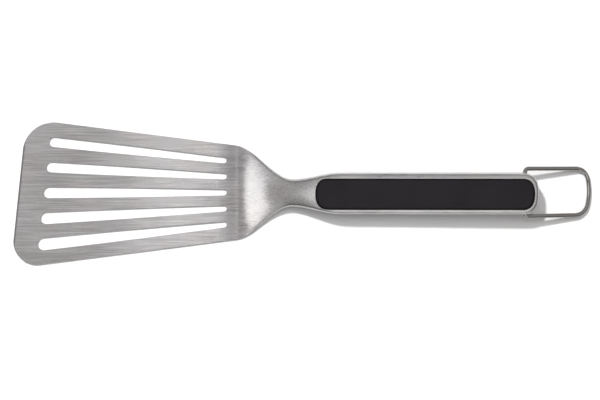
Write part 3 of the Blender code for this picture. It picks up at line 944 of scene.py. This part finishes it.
def makeLoop():
    form = loopForm
    x, z = shellForm["loopAt"]
    tilt = math.asin((z - form["wire"]) / form["length"])
    curve = bpy.data.curves.new("loopCurve", "CURVE")
    curve.dimensions = "3D"
    curve.bevel_depth = form["wire"]
    curve.bevel_resolution = form["roundness"]
    curve.use_fill_caps = True
    path = loopPath()
    spline = curve.splines.new("POLY")
    spline.points.add(len(path) - 1)
    for point, (along, across) in zip(spline.points, path):
        point.co = (x + along * math.cos(tilt), across + form["sidePlay"], z - along * math.sin(tilt), 1.0)
    guide = bpy.data.objects.new("loopCurve", curve)
    bpy.context.scene.collection.objects.link(guide)
    evaluated = guide.evaluated_get(bpy.context.evaluated_depsgraph_get())
    mesh = bpy.data.meshes.new_from_object(evaluated)
    bpy.data.objects.remove(guide)
    bm = bmesh.new()
    bm.from_mesh(mesh)
    bmesh.ops.remove_doubles(bm, verts=bm.verts, dist=weldDistance)
    bmesh.ops.recalc_face_normals(bm, faces=bm.faces)
    loop = pieceFrom(bm, "wireLoop")
    loop.data.set_sharp_from_angle(angle=0.7)
    loop.data.materials.append(wireSteel)
    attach(loop, "loop")
    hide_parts("hanging_loop")


makeLoop()
print("hanging loop made")


# pieces inside the handle keep their CAD shapes

innerFinishes = {"carrier_screw": screwSteel, "grip_carrier": carrierPlastic, "pivot_block": pivotNylon}
for name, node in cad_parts.items():
    for part, finish in innerFinishes.items():
        if part in name:
            node.data.materials.clear()
            node.data.materials.append(finish)


# floor, light and camera

studio = {
    "floorColour": (0.86, 0.86, 0.86),
    "floorRoughness": 0.9,
    "floorHalf": 3.0,
    "floorGap": 0.03 * mm,  # keeps the blade's underside clear of the floor
    "skyStops": {0.0: 0.03, 0.25: 0.09, 0.6: 0.38, 0.85: 0.50, 1.0: 0.62},  # height: brightness
    "skyTint": (1.0, 0.985, 0.98),
    "skyLean": 0.5,  # the sky is this much brighter towards +Y and as much darker towards -Y
    "keyFrom": (-0.305, 0.519, 0.799),
    "keyDistance": 4.0,
    "keySize": 0.28,
    "keyPower": 150.0,
    "boxes": {  # place, size, power
        "overheadStrip": ((-0.235, -0.1, 2.0), (0.07, 1.0), 0.28),
        "shoulderBox": ((-1.86, -0.4, 4.0), (1.4, 0.95), 7.4),
        "handleBox": ((0.26, -0.46, 1.5), (0.90, 0.22), 1.5),
        "frontBox": ((0.15, -1.5, 1.2), (1.4, 0.7), 3.6),
    },
    "fill": ((0.0, 0.85, 2.5), (3.0, 0.9), 17.0),  # lightens and softens the shadows
    "cameraAim": (-0.0015, -0.0056, 0.0),
    "cameraDistance": 1.25,
    "cameraLean": math.radians(3.6),
    "viewWidth": 0.437,
    "viewDepth": 20.0,
}


def makeStudio():
    bm = bmesh.new()
    bmesh.ops.create_grid(bm, x_segments=1, y_segments=1, size=studio["floorHalf"])
    bmesh.ops.translate(bm, vec=(0, 0, -studio["floorGap"]), verts=bm.verts)
    floor = pieceFrom(bm, "floor")
    material = newMaterial("paleFloor", studio["floorColour"], studio["floorRoughness"], 0.0)[0]
    floor.data.materials.append(material)
    world = bpy.data.worlds.new("studioSky")
    world.use_nodes = True
    nodes, links = world.node_tree.nodes, world.node_tree.links
    kinds = ("TexCoord", "SeparateXYZ", "ValToRGB")
    coordinates, axes, ramp = (nodes.new("ShaderNode" + kind) for kind in kinds)
    links.new(coordinates.outputs["Generated"], axes.inputs["Vector"])
    links.new(axes.outputs["Z"], ramp.inputs["Fac"])
    links.new(ramp.outputs["Color"], nodes["Background"].inputs["Color"])
    lean = math2(nodes, links, "MULTIPLY", axes.outputs["Y"], studio["skyLean"])
    strength = math2(nodes, links, "ADD", lean, 1.0)
    links.new(strength, nodes["Background"].inputs["Strength"])
    stops = ramp.color_ramp.elements
    while len(stops) < len(studio["skyStops"]):
        stops.new(0.5)
    for stop, (height, bright) in zip(stops, studio["skyStops"].items()):
        stop.position = height
        stop.color = (*(bright * tint for tint in studio["skyTint"]), 1.0)
    bpy.context.scene.world = world
    bpy.context.scene.view_settings.view_transform = "Standard"
    keyPlace = Vector(studio["keyFrom"]) * studio["keyDistance"]
    key = placeLight("keyLight", keyPlace, (studio["keySize"], studio["keySize"]), studio["keyPower"])
    fill = placeLight("fillLight", *studio["fill"])
    key.visible_glossy = fill.visible_glossy = False  # the soft boxes give the steel its highlights
    for name, values in studio["boxes"].items():
        placeLight(name, *values).visible_diffuse = False


def placeLight(name, place, size, power):
    light = bpy.data.lights.new(name, "AREA")
    light.shape = "RECTANGLE"
    light.size, light.size_y = size
    light.energy = power
    lamp = bpy.data.objects.new(name, light)
    bpy.context.scene.collection.objects.link(lamp)
    lamp.location = place
    back = Vector(place).normalized()  # faces the object, with its width along X
    side = Vector((0, 1, 0)).cross(back).normalized()
    lamp.rotation_euler = Matrix((side, back.cross(side), back)).transposed().to_euler()
    return lamp


def makeCamera():
    data = bpy.data.cameras.new("studioCamera")
    data.lens = data.sensor_width * studio["cameraDistance"] / studio["viewWidth"]
    data.clip_end = studio["viewDepth"]
    camera = bpy.data.objects.new("studioCamera", data)
    bpy.context.scene.collection.objects.link(camera)
    lean = studio["cameraLean"]
    towards = Vector((0.0, math.sin(lean), math.cos(lean)))
    camera.location = Vector(studio["cameraAim"]) + towards * studio["cameraDistance"]
    camera.rotation_euler = (-lean, 0.0, 0.0)
    bpy.context.scene.camera = camera


makeStudio()
makeCamera()
print("studio made")
